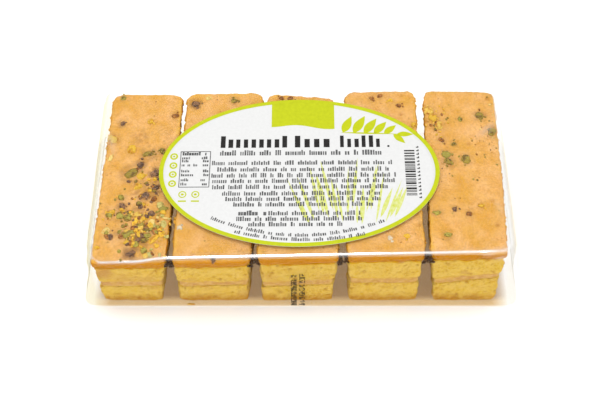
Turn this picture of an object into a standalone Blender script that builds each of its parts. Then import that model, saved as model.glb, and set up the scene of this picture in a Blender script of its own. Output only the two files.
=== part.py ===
"""Pistachio cake slices: five iced and filled slices side by side in clear film, under an oval label.

X runs along the pack, Y from the cut fronts at -Y to the backs, and Z is up.
The origin lies under the centre of the pack. Dimensions are in millimetres, and become metres at the end.
"""
import math
import random
from typing import NamedTuple

import bmesh
import bpy
from mathutils import Euler, Vector, noise

MM = 0.001
OBJECT_NAME = "pistachio_cake"

# Clearance between pieces that touch
GAP = 0.3

# Clear film, drawn over the slices and under them
FILM = 0.3
PACK_HALF_LENGTH = 109.0
PACK_HALF_DEPTH = 52.0
FILM_TOP = 43.9
FILM_TOP_SLOPE = 0.0105
FILM_FRONT_FOOT = -51.3
FILM_FRONT_TOP = -50.2
FILM_FRONT_SLOPE = 0.0175
FILM_BACK_TOP = 50.8
FILM_END_TOP = 99.6
FILM_END_TUCK = 1.4
FILM_END_TUCK_SHARE = 0.07
FILM_END_HOLLOW = 1.7
FILM_CORNER = 5.0
FILM_BEND = 2.4
FILM_CELLS_ALONG = 18
FILM_CELLS_ACROSS = 10
FILM_WALL_SHARES = (0, FILM_END_TUCK_SHARE, 0.2, 0.42, 0.68, 1)
FILM_BEND_SHARES = (0.3, 1)

# Oval label, stuck flat on the film
LABEL_CENTRE = (-0.9, -0.8)
LABEL_HALF_LENGTH = 67.8
LABEL_HALF_WIDTH = 43.0
LABEL_THICKNESS = 0.3
LABEL_SIDES = 72

# Slices: layers from the foot up
FOOT_HEIGHT = 2 * FILM
FOOT_FRONT = -50.2
FOOT_BACK_IN = 0.8
FILLING_THICKNESS = 5.2
CORNER_FRONT = 1.2
CORNER_BACK = 4.2
CRUMB_RELIEF = 0.45
CRUMBS_PER_MM = 0.16
LAYER_WAVE = 0.5
WAVES_ACROSS = 1.1
WAVES_ALONG = 2.8
ICING_WAVE_SHARE = 0.4
CELLS_ACROSS = 5
CELLS_ALONG = 9

# Pistachio nibs that stand in the icing
NIB_RISE = 1.0
NIB_HEIGHT_RATIO = 0.42
NIB_FULLNESS = 1.12
NIB_LUMPS = 0.16
NIB_SEED = 11


class Slice(NamedTuple):
    """One slice: the corners of its iced top from above, its heights, and how far its foot draws in."""

    name: str
    front_left: tuple
    front_right: tuple
    back_left: tuple
    back_right: tuple
    top: float
    icing: float
    filling_left: float
    filling_right: float
    foot_left: float
    foot_right: float


SLICES = (
    Slice("slice_1", (-97.6, -50.9), (-62.5, -50.5), (-95.3, 48.8), (-59.7, 48.8),
          40.9, 5.4, 19.0, 19.2, 0.3, 4.8),
    Slice("slice_2", (-59.7, -50.5), (-23.4, -49.8), (-57.7, 48.8), (-18.9, 48.8),
          41.5, 5.6, 18.6, 19.0, -0.4, 1.7),
    Slice("slice_3", (-20.3, -49.4), (17.4, -48.6), (-17.1, 47.7), (17.7, 45.2),
          42.2, 5.0, 17.3, 19.8, 0.7, 1.3),
    Slice("slice_4", (21.1, -48.4), (57.3, -47.7), (22.6, 48.6), (58.1, 49.5),
          42.8, 4.7, 20.2, 20.6, 1.5, -0.3),
    Slice("slice_5", (59.9, -47.4), (95.9, -47.0), (62.1, 49.4), (98.3, 48.9),
          42.8, 4.5, 18.4, 24.2, 4.2, 0.6),
)


class Layer(NamedTuple):
    """One layer of a slice: its profile runs up the side as (share of the height, draw-in)."""

    name: str
    profile: tuple
    colour: tuple
    roughness: float


LOWER_SPONGE = Layer("lower_sponge", ((0, 2.4), (0.06, 1.2), (0.18, 0.7), (1, 0.9)), (0.72, 0.44, 0.08), 0.9)
FILLING = Layer("filling", ((0, 1.1), (1, 1.1)), (0.58, 0.29, 0.11), 0.6)
UPPER_SPONGE = Layer("upper_sponge", ((0, 0.8), (0.5, 0.6), (1, 1.1)), (0.78, 0.50, 0.09), 0.9)
ICING = Layer("icing", ((0, 0.4), (0.6, 0), (0.9, 0.1), (1, 0.7)), (0.86, 0.47, 0.12), 0.5)

# Nibs on each slice: x, y, length, width, and turn in degrees
NIBS = {
    "slice_1": (
        (-93.4, 20.0, 5.0, 6.0, 0), (-83.3, 13.9, 4.6, 5.2, 0), (-82.6, -0.5, 6.8, 4.4, 35),
        (-78.4, 4.3, 3.6, 3.8, 0), (-77.5, -1.8, 4.4, 4.6, 20), (-78.6, -8.3, 4.2, 3.4, -20),
        (-71.0, -0.5, 4.2, 3.8, 40), (-74.6, -13.3, 3.6, 3.2, 0), (-69.8, -9.0, 4.2, 2.2, 30),
        (-85.2, -19.8, 3.0, 3.4, 0), (-86.0, -25.0, 4.2, 4.0, 0), (-78.0, -27.4, 6.6, 2.6, 58),
        (-70.3, -29.0, 3.2, 4.4, 15), (-80.4, -34.4, 7.0, 3.2, 42), (-74.6, -36.0, 4.8, 2.6, -10),
        (-68.8, -37.6, 5.8, 2.6, 50), (-77.9, -40.4, 4.0, 2.8, 0), (-91.6, -33.5, 3.0, 4.2, -40),
        (-78.8, -45.6, 5.0, 2.4, 14), (-70.4, -46.4, 3.6, 3.0, 0), (-67.2, -18.9, 3.6, 3.4, 0),
        (-62.9, 34.3, 3.4, 2.8, 20), (-75.0, 11.2, 5.4, 2.8, 8), (-68.4, 12.8, 3.0, 3.2, 0),
        (-89.2, 29.9, 2.8, 2.0, 35), (-93.3, 8.3, 2.4, 3.8, -15), (-90.2, 45.8, 3.0, 2.6, 0),
        (-75.4, 31.0, 2.6, 3.4, -20), (-90.6, -23.5, 4.4, 2.8, 12), (-85.9, -14.6, 3.0, 3.4, 0),
        (-64.9, -29.6, 2.8, 4.0, 0), (-65.9, -34.6, 2.6, 4.4, 0),
    ),
    "slice_2": (
        (-53.2, 41.6, 3.8, 3.4, 0), (-46.8, 45.2, 3.0, 2.4, 20), (-34.0, 43.6, 3.2, 2.6, 0),
        (-57.2, -31.5, 2.2, 2.2, 0),
    ),
    "slice_3": (
        (-9.9, 44.8, 2.6, 2.2, 0), (-5.4, 44.6, 2.8, 2.4, 30),
    ),
    "slice_4": (
        (40.1, 46.0, 2.8, 2.4, 0), (35.8, 44.2, 2.6, 2.2, 0), (49.2, 39.6, 2.6, 2.2, 0),
        (45.3, 43.0, 2.6, 2.2, 20), (49.3, -37.2, 3.0, 2.4, 0), (41.4, -38.2, 2.6, 2.2, 0),
        (56.4, 27.4, 3.0, 3.2, 0),
    ),
    "slice_5": (
        (63.8, 36.2, 5.0, 4.4, -20), (66.2, 31.8, 4.8, 4.2, -50), (68.8, 27.4, 5.6, 4.2, -55),
        (89.2, 33.0, 4.2, 4.8, 0), (94.8, 23.1, 5.0, 4.2, 0), (71.0, 9.4, 4.2, 3.6, 0),
        (72.2, 5.0, 4.6, 3.2, -35), (80.6, 6.5, 4.2, 5.0, 0), (75.2, 15.7, 2.4, 2.6, 0),
        (79.5, 31.0, 2.2, 2.6, 0), (69.4, 18.2, 3.2, 2.2, -30), (64.6, -24.4, 3.4, 2.2, 20),
        (72.7, -22.4, 2.2, 2.6, 0), (68.6, -36.7, 3.6, 2.6, 0), (85.4, -20.3, 2.8, 2.2, 0),
        (79.3, -25.0, 2.8, 2.4, 0),
    ),
}


def clear_scene():
    """Remove the objects that the file opens with."""
    for leftover in list(bpy.data.objects):
        bpy.data.objects.remove(leftover, do_unlink=True)


def new_collection(name):
    """A collection linked to the scene."""
    collection = bpy.data.collections.new(name)
    bpy.context.scene.collection.children.link(collection)
    return collection


def material(name, colour, roughness, alpha=1.0):
    """A Principled material of one colour."""
    made = bpy.data.materials.new(name)
    made.use_nodes = True
    shader = made.node_tree.nodes["Principled BSDF"]
    shader.inputs["Base Color"].default_value = (*colour, 1.0)
    shader.inputs["Roughness"].default_value = roughness
    shader.inputs["Metallic"].default_value = 0.0
    shader.inputs["Alpha"].default_value = alpha
    return made


def spread(cells, corner, half_size):
    """Stops from -1 to 1: one a corner's radius from each end, and the others spread evenly between."""
    inner = 1 - corner / half_size
    steps = cells - 2
    return [-1.0] + [-inner + 2 * inner * step / steps for step in range(steps + 1)] + [1.0]


def grid_box(name, collection, stops, place):
    """A closed box of quads. Its vertices lie at the stops along each axis, each moved by place(u, v, w)."""
    shape = bmesh.new()
    bmesh.ops.create_cube(shape, size=1.0)
    for axis in range(3):
        along = [edge for edge in shape.edges if abs((edge.verts[0].co - edge.verts[1].co)[axis]) > 0.9]
        cuts = len(stops[axis]) - 2
        if cuts:
            bmesh.ops.subdivide_edges(shape, edges=along, cuts=cuts, use_grid_fill=True)
    for vertex in shape.verts:
        steps = [round((vertex.co[axis] + 0.5) * (len(stops[axis]) - 1)) for axis in range(3)]
        vertex.co = place(*(stops[axis][steps[axis]] for axis in range(3)))
    mesh = bpy.data.meshes.new(name)
    shape.to_mesh(mesh)
    shape.free()
    box = bpy.data.objects.new(name, mesh)
    collection.objects.link(box)
    return box


def round_corner(u, v, half_length, half_width, radius):
    """A point of a rectangle, at shares u and v of its half sizes, with the rectangle's corners rounded."""
    point = Vector((u * half_length, v * half_width))
    inner = Vector((
        max(-half_length + radius, min(half_length - radius, point.x)),
        max(-half_width + radius, min(half_width - radius, point.y)),
    ))
    out = point - inner
    reach = max(abs(out.x), abs(out.y))
    if reach == 0:
        return point
    return inner + out.normalized() * reach


def between(first, second, share):
    """The point a share of the way from the first to the second."""
    return tuple(a + (b - a) * share for a, b in zip(first, second))


def slice_corners(cake, height):
    """Corners of a slice at a height: they run straight from the foot to the iced top."""
    share = height / cake.top
    feet = (
        (cake.front_left[0] + cake.foot_left, FOOT_FRONT),
        (cake.front_right[0] - cake.foot_right, FOOT_FRONT),
        (cake.back_left[0] + cake.foot_left, cake.back_left[1] - FOOT_BACK_IN),
        (cake.back_right[0] - cake.foot_right, cake.back_right[1] - FOOT_BACK_IN),
    )
    tops = (cake.front_left, cake.front_right, cake.back_left, cake.back_right)
    return [between(foot, top, share) for foot, top in zip(feet, tops)]


def slice_point(cake, u, v, height, draw_in):
    """Plan position of a slice's point at a height, with crumbly relief on its outline."""
    front_left, front_right, back_left, back_right = slice_corners(cake, height)
    half_width = (front_right[0] - front_left[0] + back_right[0] - back_left[0]) / 4
    half_depth = (back_left[1] - front_left[1] + back_right[1] - front_right[1]) / 4
    corner = CORNER_FRONT if v < 0 else CORNER_BACK
    point = round_corner(u, v, half_width - draw_in, half_depth - draw_in, corner)
    across = (point.x / half_width + 1) / 2
    along = (point.y / half_depth + 1) / 2
    front = between(front_left, front_right, across)
    back = between(back_left, back_right, across)
    x, y = between(front, back, along)
    relief = noise.noise_vector(Vector((x, y, height)) * CRUMBS_PER_MM) * CRUMB_RELIEF
    return x + relief.x * abs(u), y + relief.y * abs(v)


def layer_floor(cake, layer, u, v):
    """Height of a layer's underside at shares u and v of the slice."""
    wave = LAYER_WAVE * noise.noise(Vector((u * WAVES_ACROSS, v * WAVES_ALONG, cake.top)))
    filling_floor = (cake.filling_left * (1 - u) + cake.filling_right * (1 + u) - FILLING_THICKNESS) / 2
    heights = {
        "lower_sponge": FOOT_HEIGHT,
        "filling": filling_floor + wave,
        "upper_sponge": filling_floor + FILLING_THICKNESS + wave,
        "icing": cake.top - cake.icing + ICING_WAVE_SHARE * wave,
    }
    return heights[layer.name]


def make_layer(cake, layer, above, collection, finish):
    """One layer of one slice, from its underside to just below the layer above it."""
    def place(u, v, step):
        share, draw_in = layer.profile[step]
        floor = layer_floor(cake, layer, u, v)
        ceiling = layer_floor(cake, above, u, v) - GAP if above else cake.top
        height = floor + (ceiling - floor) * share
        x, y = slice_point(cake, u, v, height, draw_in)
        return Vector((x, y, height)) * MM

    stops = (
        spread(CELLS_ACROSS, CORNER_BACK, (cake.front_right[0] - cake.front_left[0]) / 2),
        spread(CELLS_ALONG, CORNER_BACK, (cake.back_left[1] - cake.front_left[1]) / 2),
        range(len(layer.profile)),
    )
    piece = grid_box(f"{cake.name}_{layer.name}", collection, stops, place)
    piece.data.materials.append(finish)
    return piece


def make_nib(nib, top, draw, collection):
    """One pistachio nib: a lumpy ellipsoid sunk in the icing."""
    x, y, length, width, turn = nib
    half_height = NIB_HEIGHT_RATIO * min(length, width)
    rise = NIB_RISE * min(1.0, min(length, width) / 3.6)
    shape = bmesh.new()
    bmesh.ops.create_icosphere(shape, subdivisions=1, radius=1.0)
    spin = Euler((draw.uniform(0, 1), draw.uniform(0, 1), draw.uniform(0, 6))).to_matrix()
    place = Euler((0, 0, math.radians(turn))).to_matrix()
    for vertex in shape.verts:
        lump = spin @ vertex.co * (1 + draw.uniform(-NIB_LUMPS, NIB_LUMPS))
        stretched = Vector((
            lump.x * NIB_FULLNESS * length / 2,
            lump.y * NIB_FULLNESS * width / 2,
            min(lump.z, 1.0) * half_height,
        ))
        vertex.co = (place @ stretched + Vector((x, y, top + rise - half_height))) * MM
    mesh = bpy.data.meshes.new("nib")
    shape.to_mesh(mesh)
    shape.free()
    collection.objects.link(bpy.data.objects.new("nib", mesh))


def stud_with_nibs(icing, cake, draw):
    """Fuse a slice's nibs to its icing."""
    nibs = new_collection(f"{cake.name}_nibs")
    for nib in NIBS[cake.name]:
        make_nib(nib, cake.top, draw, nibs)
    union = icing.modifiers.new("nibs", "BOOLEAN")
    union.operation = "UNION"
    union.operand_type = "COLLECTION"
    union.collection = nibs
    union.solver = "EXACT"
    bpy.context.view_layer.objects.active = icing
    bpy.ops.object.modifier_apply(modifier=union.name)
    for nib in list(nibs.objects):
        bpy.data.objects.remove(nib, do_unlink=True)
    bpy.data.collections.remove(nibs)


def make_slices(collection):
    """Five slices, each of two sponges, a filling and an icing."""
    layers = (LOWER_SPONGE, FILLING, UPPER_SPONGE, ICING)
    finishes = [material(layer.name, layer.colour, layer.roughness) for layer in layers]
    draw = random.Random(NIB_SEED)
    for cake in SLICES:
        for layer, above, finish in zip(layers, layers[1:] + (None,), finishes):
            piece = make_layer(cake, layer, above, collection, finish)
        stud_with_nibs(piece, cake, draw)


def film_top(x):
    """Height of the film's outer face: it rises a little along the pack."""
    return FILM_TOP + FILM_TOP_SLOPE * x


def film_wall_point(u, v, share, bend):
    """A point of the film's outer face: share runs up the wall, then bend runs over the top edge."""
    tuck = FILM_END_TUCK * max(0.0, 1 - share / FILM_END_TUCK_SHARE) ** 2
    flare = (PACK_HALF_LENGTH - FILM_END_TOP) * (1 - share) ** FILM_END_HOLLOW
    half_length = FILM_END_TOP + flare - tuck - FILM_BEND * bend
    front_top = FILM_FRONT_TOP + FILM_FRONT_SLOPE * u * half_length
    front = FILM_FRONT_FOOT + (front_top - FILM_FRONT_FOOT) * share
    back = PACK_HALF_DEPTH + (FILM_BACK_TOP - PACK_HALF_DEPTH) * share
    half_depth = (back - front) / 2 - FILM_BEND * bend
    point = round_corner(u, v, half_length, half_depth, FILM_CORNER)
    shoulder = film_top(point.x) - FILM_BEND
    arc = math.sqrt(1 - (1 - bend) ** 2)
    height = FOOT_HEIGHT + (shoulder - FOOT_HEIGHT) * share + FILM_BEND * arc
    return Vector((point.x, point.y + (back + front) / 2, height)) * MM


def make_film_cover(collection, finish):
    """The film over the top, front, back and ends, open below, where it meets the film underneath."""
    rings = [(share, 0) for share in FILM_WALL_SHARES] + [(1, bend) for bend in FILM_BEND_SHARES]

    def place(u, v, ring):
        return film_wall_point(u, v, *rings[ring])

    stops = (
        spread(FILM_CELLS_ALONG, FILM_CORNER, PACK_HALF_LENGTH),
        spread(FILM_CELLS_ACROSS, FILM_CORNER, PACK_HALF_DEPTH),
        range(len(rings)),
    )
    cover = grid_box("film_cover", collection, stops, place)
    shape = bmesh.new()
    shape.from_mesh(cover.data)
    below = [face for face in shape.faces if face.normal.z < -0.9]
    bmesh.ops.delete(shape, geom=below, context="FACES")
    shape.to_mesh(cover.data)
    shape.free()
    wall = cover.modifiers.new("film", "SOLIDIFY")
    wall.thickness = FILM * MM
    wall.offset = -1.0
    wall.use_even_offset = True
    cover.data.materials.append(finish)


def make_film_underside(collection, finish):
    """The flat film that the slices stand on and the pack rests on."""
    def place(u, v, w):
        point = round_corner(u, v, PACK_HALF_LENGTH, PACK_HALF_DEPTH, FILM_CORNER)
        return Vector((point.x, point.y, w * FILM)) * MM

    stops = (spread(3, FILM_CORNER, PACK_HALF_LENGTH), spread(3, FILM_CORNER, PACK_HALF_DEPTH), (0, 1))
    sheet = grid_box("film_underside", collection, stops, place)
    sheet.data.materials.append(finish)


def make_label(collection):
    """The oval label, tilted with the film that it lies on."""
    x, y = LABEL_CENTRE
    height = film_top(x) + GAP + LABEL_THICKNESS / 2
    bpy.ops.mesh.primitive_cylinder_add(
        vertices=LABEL_SIDES, radius=1.0, depth=LABEL_THICKNESS * MM, location=(x * MM, y * MM, height * MM))
    label = bpy.context.object
    label.name = "label"
    label.scale = (LABEL_HALF_LENGTH * MM, LABEL_HALF_WIDTH * MM, 1.0)
    bpy.ops.object.transform_apply(location=False, rotation=False, scale=True)
    label.rotation_euler.y = -math.atan(FILM_TOP_SLOPE)
    label.data.materials.append(material("label", (0.93, 0.95, 0.82), 0.35))
    for holder in label.users_collection:
        holder.objects.unlink(label)
    collection.objects.link(label)


def main():
    clear_scene()
    pack = new_collection(OBJECT_NAME)
    film = material("film", (0.95, 0.96, 0.95), 0.08, alpha=0.3)
    make_slices(pack)
    make_film_cover(pack, film)
    make_film_underside(pack, film)
    make_label(pack)


main()
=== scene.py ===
"""Looks of the pistachio cake pack: crumb, filling, icing, nibs, clear film and a printed oval label.

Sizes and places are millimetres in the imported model's frame: X along the row of slices, Y from the cut
fronts to the backs, Z up. They become metres where a mesh is made. Colours are 0 to 255 screen values.
"""
import math
import random
from typing import NamedTuple

import bmesh
import bpy
import numpy as np
from mathutils import Euler, Matrix, Vector, noise


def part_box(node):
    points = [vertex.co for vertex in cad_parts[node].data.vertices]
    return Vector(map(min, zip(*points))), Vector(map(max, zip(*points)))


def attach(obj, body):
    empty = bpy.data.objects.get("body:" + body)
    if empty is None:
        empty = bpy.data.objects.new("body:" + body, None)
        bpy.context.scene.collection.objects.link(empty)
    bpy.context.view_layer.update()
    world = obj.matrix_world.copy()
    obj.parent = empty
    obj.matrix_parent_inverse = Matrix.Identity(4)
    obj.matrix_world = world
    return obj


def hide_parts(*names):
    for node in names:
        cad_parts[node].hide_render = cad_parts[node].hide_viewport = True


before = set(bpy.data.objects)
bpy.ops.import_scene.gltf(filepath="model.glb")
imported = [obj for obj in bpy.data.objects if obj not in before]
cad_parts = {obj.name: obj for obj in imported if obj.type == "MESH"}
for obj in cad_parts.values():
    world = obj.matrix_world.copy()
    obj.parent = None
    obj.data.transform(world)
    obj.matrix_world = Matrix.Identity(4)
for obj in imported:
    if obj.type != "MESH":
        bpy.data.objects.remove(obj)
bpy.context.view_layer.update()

MM = 0.001

# Camera at the photograph's viewing angle
CAMERA_PLACE = (-0.5, -299.6, 477.9)
CAMERA_TILT = 33.0
CAMERA_LENS = 65.35

# Studio: a white room, a soft light above the pack, and a weak wide one in front: place, size and power
ROOM_LIGHT = 1.1
KEY_LIGHT = ((-40.0, 40.0, 720.0), 270.0, 1.62)
FILL_LIGHT = ((60.0, -720.0, 330.0), 600.0, 0.8)
STUDIO_GAIN = 1.25
FLOOR_SIZE = 3000.0

# Slices: the height of each iced top and the thickness of its icing
TOPS = {"slice_1": 40.9, "slice_2": 41.5, "slice_3": 42.2, "slice_4": 42.8, "slice_5": 42.8}
ICING_THICKNESS = {"slice_1": 5.4, "slice_2": 5.6, "slice_3": 5.0, "slice_4": 4.7, "slice_5": 4.5}

# Film: its outer face, the bend over the top edges and its drawn-in ends
FILM_TOP = 43.9
FILM_TOP_SLOPE = 0.0105
FILM_FRONT_TOP = -50.2
FILM_FRONT_SLOPE = 0.0175
FILM_FRONT_FOOT = -51.3
FILM_BACK_TOP = 50.8
FILM_END_TOP = 99.6
FILM_END_HOLLOW = 1.7
FILM_END_TUCK = 1.4
FILM_CORNER = 5.0
FILM_BEND = 3.0
FILM_THICKNESS = 0.08
FILM_ROUGHNESS = 0.09
FILM_FOOT = 0.6

# Painted shadow on the film under the slices, tan for the warm light bounced off the cake: the stretches
# over which it fades out at the ends, at the back and at the front edge, and over which it deepens behind
# the slices' fronts into painted shade in the gaps between them
UNDER_SHADE_ENDS = (94.0, 102.0)
UNDER_SHADE_BACK = (42.0, 48.0)
UNDER_SHADE_EDGE = (-52.0, -50.7)
UNDER_SHADE_FRONT = (-48.6, -45.6)


def tone(red, green, blue, gain=1.0):
    """Linear colour with alpha from levels of 0 to 255."""
    def linear(level):
        share = level / 255
        return (share / 12.92 if share <= 0.04045 else ((share + 0.055) / 1.055) ** 2.4) / gain
    return linear(red), linear(green), linear(blue), 1.0


def screen(red, green, blue):
    """Surface colour that shows as about the given levels of 0 to 255 in this bright studio."""
    return tone(red, green, blue, STUDIO_GAIN)


def step(value, low, high):
    """Smooth rise from 0 at low to 1 at high."""
    share = min(1.0, max(0.0, (value - low) / (high - low)))
    return share * share * (3 - 2 * share)


def fall(value, low, high):
    """Smooth fall from 1 at low to 0 at high."""
    return step(-value, -high, -low)


def box_of(node):
    """A CAD node's lowest and highest corners in millimetres."""
    return [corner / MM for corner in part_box(node)]


def link(name, data):
    """A new object for a mesh, light or camera, in the scene."""
    piece = bpy.data.objects.new(name, data)
    bpy.context.scene.collection.objects.link(piece)
    return piece


def finish_piece(piece, look, slot, *replaced):
    """Give a piece its material, and fix it to the pack. Its slot is not used."""
    piece.data.materials.clear()
    piece.data.materials.append(look)
    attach(piece, "root")
    if replaced:
        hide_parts(*replaced)


def mesh_from(shape, name, smooth_angle=None):
    """A mesh from a bmesh in millimetres, shaded smooth up to an angle in degrees."""
    for vertex in shape.verts:
        vertex.co *= MM
    bmesh.ops.recalc_face_normals(shape, faces=shape.faces)
    mesh = bpy.data.meshes.new(name)
    shape.to_mesh(mesh)
    shape.free()
    if smooth_angle is not None:
        mesh.shade_smooth()
        mesh.set_sharp_from_angle(angle=math.radians(smooth_angle))
    return mesh


def add_thickness(piece, thickness):
    """Thicken a surface inward."""
    shell = piece.modifiers.new("shell", "SOLIDIFY")
    shell.thickness = thickness * MM
    shell.offset = -1.0


class Look:
    """A Principled material, with short calls that build its node tree."""

    def __init__(self, name, roughness=0.5, specular=0.5):
        self.material = bpy.data.materials.new(name)
        self.material.use_nodes = True
        self.nodes = self.material.node_tree.nodes
        self.links = self.material.node_tree.links
        self.shader = self.nodes["Principled BSDF"]
        self.shader.inputs["Roughness"].default_value = roughness
        self.shader.inputs["Specular IOR Level"].default_value = specular
        self.place = self.nodes.new("ShaderNodeTexCoord").outputs["Object"]

    def add(self, kind, inputs, output=0, **settings):
        """An output of a new node. Its inputs are values or other nodes' outputs."""
        node = self.nodes.new(kind)
        for setting, value in settings.items():
            setattr(node, setting, value)
        for socket, value in inputs.items():
            if isinstance(value, bpy.types.NodeSocket):
                self.links.new(value, node.inputs[socket])
            else:
                node.inputs[socket].default_value = value
        return node.outputs[output]

    def noise(self, size, detail=2.0):
        """Noise with features of a size in millimetres."""
        inputs = {"Vector": self.place, "Scale": 1 / (size * MM), "Detail": detail}
        return self.add("ShaderNodeTexNoise", inputs)

    def cells(self, size):
        """Distance to the nearest of points that lie about a size in millimetres apart, as a share of it."""
        return self.add("ShaderNodeTexVoronoi", {"Vector": self.place, "Scale": 1 / (size * MM)})

    def band(self, value, low, high, first=0.0, last=1.0):
        """The value mapped from low to high onto first to last, and held beyond them."""
        return self.add("ShaderNodeMapRange", {
            "Value": value, "From Min": low, "From Max": high, "To Min": first, "To Max": last})

    def reach(self, place, span, first=0.0, last=1.0):
        """The same for a place in metres, over a span in millimetres."""
        return self.band(place, span[0] * MM, span[1] * MM, first, last)

    def axis(self, name):
        """How far along X, Y or Z the surface lies, in metres."""
        return self.add("ShaderNodeSeparateXYZ", {"Vector": self.place}, output=name)

    def maths(self, operation, first, second):
        return self.add("ShaderNodeMath", {0: first, 1: second}, operation=operation)

    def attribute(self, name, output="Fac"):
        return self.add("ShaderNodeAttribute", {}, output=output, attribute_name=name)

    def mix(self, share, first, second, **settings):
        """First colour to second colour by a share."""
        inputs = {0: share, 6: first, 7: second}
        return self.add("ShaderNodeMix", inputs, output=2, data_type="RGBA", **settings)

    def coats(self, colour, *coats):
        """A colour under coats, each a colour, a share and a strength. The last one is on top."""
        for coat, share, strength in coats:
            colour = self.mix(self.maths("MULTIPLY", share, strength), colour, coat)
        return colour

    def bump(self, height, depth, under=None):
        """Surface normal from a height that runs over a depth in millimetres."""
        inputs = {"Height": height, "Distance": depth * MM, "Strength": 1.0}
        if under:
            inputs["Normal"] = under
        return self.add("ShaderNodeBump", inputs)

    def feed(self, socket, value):
        self.links.new(value, self.shader.inputs[socket])

    def rough(self, share, low, high):
        """Roughness from low to high by a share."""
        self.feed("Roughness", self.band(share, 0.0, 1.0, low, high))

    def glow(self, weight):
        """Let a little light soak through, as crumb and icing do."""
        self.shader.inputs["Subsurface Weight"].default_value = weight
        self.shader.inputs["Subsurface Scale"].default_value = 2.5 * MM
        self.shader.inputs["Subsurface Radius"].default_value = (1.0, 0.6, 0.25)


# Colours
WHITE = (1.0, 1.0, 1.0, 1.0)
FLOOR_LIGHT = tone(250, 250, 250)
FLOOR_DIM = tone(247, 247, 247)
SPONGE_GOLD = screen(228, 182, 50)
SPONGE_PALE = screen(244, 208, 106)
# Painted shade inside the crumb's pores
SPONGE_PORE_SHADE = screen(184, 122, 30)
SPONGE_SOAK = screen(226, 174, 10)
SPONGE_BASE = screen(194, 131, 26)
FILLING_LIGHT = screen(224, 176, 100)
FILLING_DARK = screen(202, 146, 76)
ICING_PEACH = screen(245, 189, 118)
ICING_WARM = screen(231, 172, 76)
ICING_EDGE = screen(246, 192, 74)
ICING_FRONT = screen(228, 158, 60)
ICING_AMBER = screen(208, 138, 0)
ICING_TOFFEE = screen(180, 106, 0)
ICING_STAIN = screen(128, 90, 62)
# Icing specks, and painted shade inside its pits
ICING_FLECK_AND_PIT_SHADE = screen(168, 102, 36)
# Painted glow on the film's ends, of warm light bounced off the cake
FILM_BOUNCE_CREAM = tone(252, 250, 241)
# Painted shadow under the slices' fronts, tan with bounce light, and painted shade in the gaps between them
FILM_UNDER_SHADE = tone(244, 229, 201)
FILM_GAP_SHADE = tone(219, 199, 171)
PAPER = screen(224, 224, 223)
PAPER_FIBRE = screen(229, 229, 228)
LIME = screen(188, 197, 0)
LIME_WORN = screen(198, 207, 8)
LIME_PALE = screen(206, 213, 84)
LIME_FAINT = screen(224, 228, 160)
INK_BLACK = screen(18, 16, 15)
INK_BLACK_WORN = screen(36, 33, 31)
INK_GREY = screen(60, 60, 60)
INK_GREY_WORN = screen(110, 110, 110)
NIB_GRAIN = tone(176, 146, 100)


def sponge_look():
    look = Look("sponge", 0.9, 0.1)
    mottle = look.band(look.noise(7.0, 3.0), 0.36, 0.64)
    grain = look.band(look.noise(0.8, 3.0), 0.4, 0.6)
    browned = look.band(look.noise(1.8, 3.0), 0.36, 0.62, 0.5, 1.0)
    look.feed("Base Color", look.coats(
        SPONGE_GOLD,
        (SPONGE_PALE, mottle, 0.6),
        (SPONGE_PALE, grain, 0.65),
        # Painted shade in the pores: darker spots in the crumb
        (SPONGE_PORE_SHADE, look.band(look.cells(1.3), 0.36, 0.14), 0.55),
        (SPONGE_PORE_SHADE, look.band(look.cells(0.75), 0.36, 0.14), 0.45),
        (SPONGE_SOAK, look.attribute("soak"), 0.85),
        (ICING_AMBER, look.attribute("drip"), 0.85),
        (FILLING_DARK, look.attribute("smear"), 0.8),
        (SPONGE_BASE, look.attribute("base"), browned),
        # Painted shade where the mesh sinks a pore
        (SPONGE_PORE_SHADE, look.attribute("pore"), 0.75),
    ))
    look.rough(grain, 0.82, 0.98)
    fine = look.bump(look.noise(0.45, 3.0), 0.25)
    look.feed("Normal", look.bump(look.cells(1.1), 0.35, fine))
    look.glow(0.2)
    return look.material


def filling_look():
    look = Look("filling", 0.6, 0.2)
    mottle = look.band(look.noise(2.2, 3.0), 0.35, 0.65)
    crumb = look.band(look.noise(1.4, 3.0), 0.42, 0.62)
    look.feed("Base Color", look.coats(
        FILLING_LIGHT,
        (FILLING_DARK, mottle, 1.0),
        (SPONGE_GOLD, crumb, 0.35),
        (SPONGE_GOLD, look.attribute("rim"), 1.0),
        # Painted shade where the mesh sinks a pore
        (SPONGE_PORE_SHADE, look.attribute("pore"), 0.6),
    ))
    look.rough(mottle, 0.5, 0.75)
    look.feed("Normal", look.bump(look.noise(0.7, 3.0), 0.3))
    return look.material


def icing_look():
    look = Look("icing", 0.5, 0.08)
    mottle = look.band(look.noise(9.0, 4.0), 0.35, 0.65)
    grain = look.band(look.noise(0.8, 3.0), 0.4, 0.64)
    blush = look.band(look.noise(3.2, 2.0), 0.45, 0.7)
    speckled = look.band(look.noise(6.0), 0.4, 0.6)
    flecks = look.maths("MULTIPLY", look.band(look.cells(2.8), 0.17, 0.07), speckled)
    amber = look.coats(ICING_AMBER, (ICING_TOFFEE, grain, 0.5))
    look.feed("Base Color", look.coats(
        ICING_PEACH,
        (ICING_WARM, mottle, 1.0),
        (ICING_FRONT, blush, 0.35),
        (ICING_EDGE, look.attribute("edge"), 0.8),
        (ICING_STAIN, grain, 0.24),
        (ICING_FLECK_AND_PIT_SHADE, flecks, 0.7),
        (ICING_STAIN, look.attribute("stain"), 0.85),
        # Painted shade where the mesh sinks a pit
        (ICING_FLECK_AND_PIT_SHADE, look.attribute("pore"), 0.7),
        (ICING_FRONT, look.attribute("front"), 0.85),
        (amber, look.attribute("side"), 1.0),
    ))
    look.rough(grain, 0.38, 0.6)
    fine = look.bump(look.noise(0.6, 3.0), 0.06)
    look.feed("Normal", look.bump(look.noise(3.5, 2.0), 0.18, fine))
    look.glow(0.05)
    return look.material


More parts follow.
